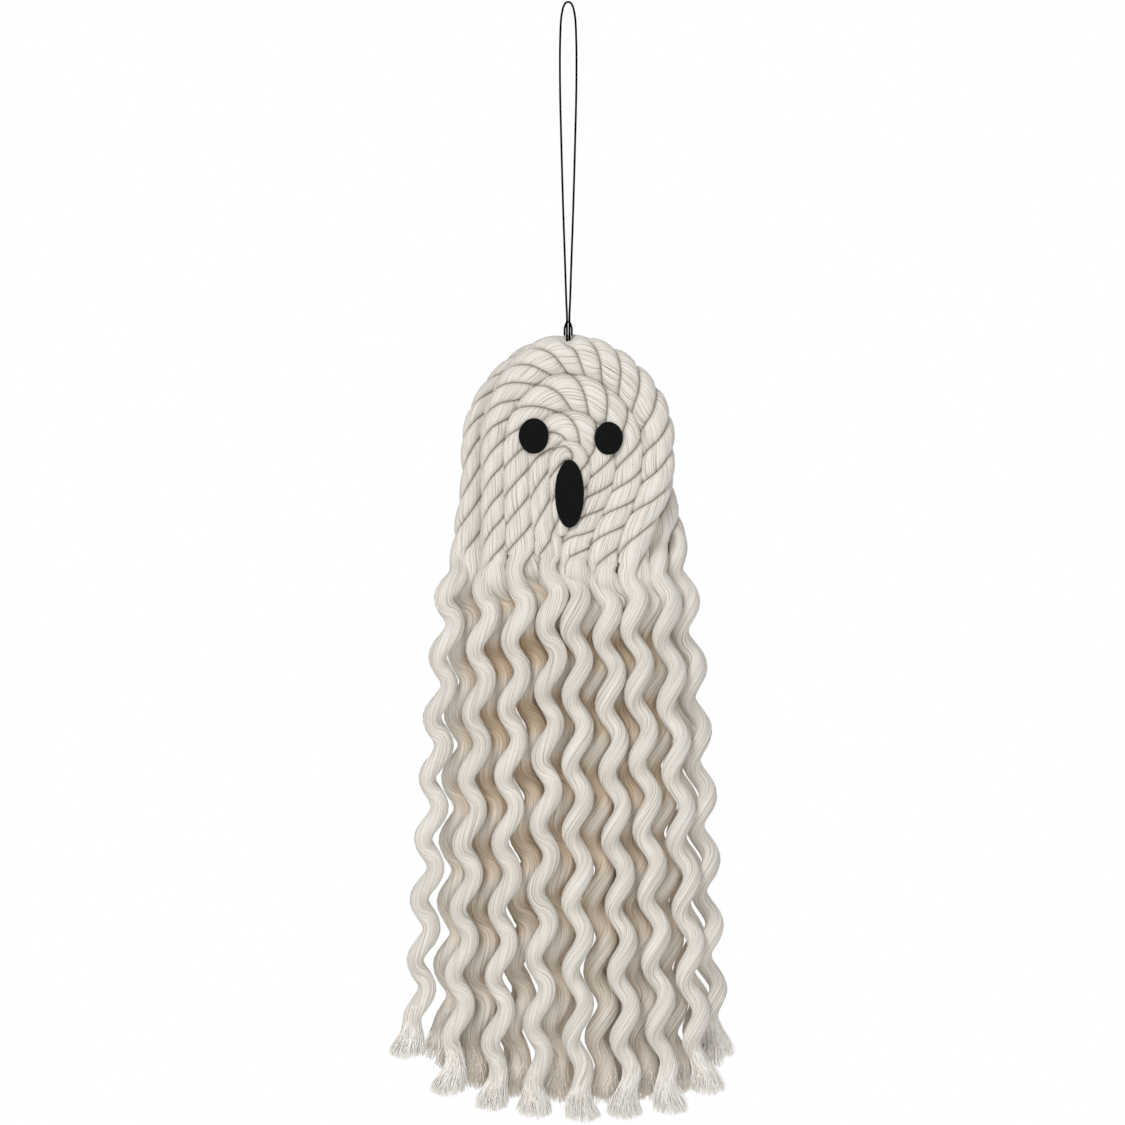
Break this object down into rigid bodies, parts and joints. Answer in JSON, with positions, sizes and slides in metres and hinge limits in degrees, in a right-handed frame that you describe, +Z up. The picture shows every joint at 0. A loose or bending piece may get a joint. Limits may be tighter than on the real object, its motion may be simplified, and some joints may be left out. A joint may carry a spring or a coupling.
{
  "type": "ghost decoration",
  "caption": "Hanging ghost of nested cotton rope arches with a wavy skirt of unlaid strands, felt eyes and mouth, and a black thread loop.",
  "frame": {"origin": "underside of the top bend of the thread loop, where the hook bears", "axes": "+Z up, the face looks along -Y, +X to the right of someone who looks at the face"},
  "size_m": [0.1291, 0.0283, 0.4321],
  "materials": {
    "cotton": "unbleached laid cotton, matt",
    "felt": "wool felt, matt",
    "thread": "waxed thread, slightly glossy"
  },
  "bodies": {
    "root": {"outer_rope": "cotton", "second_rope": "cotton", "third_rope": "cotton", "core_rope": "cotton", "rear_rope": "cotton", "left_eye": "felt", "right_eye": "felt", "mouth": "felt", "hanging_loop": "thread"}
  },
  "joints": []
}
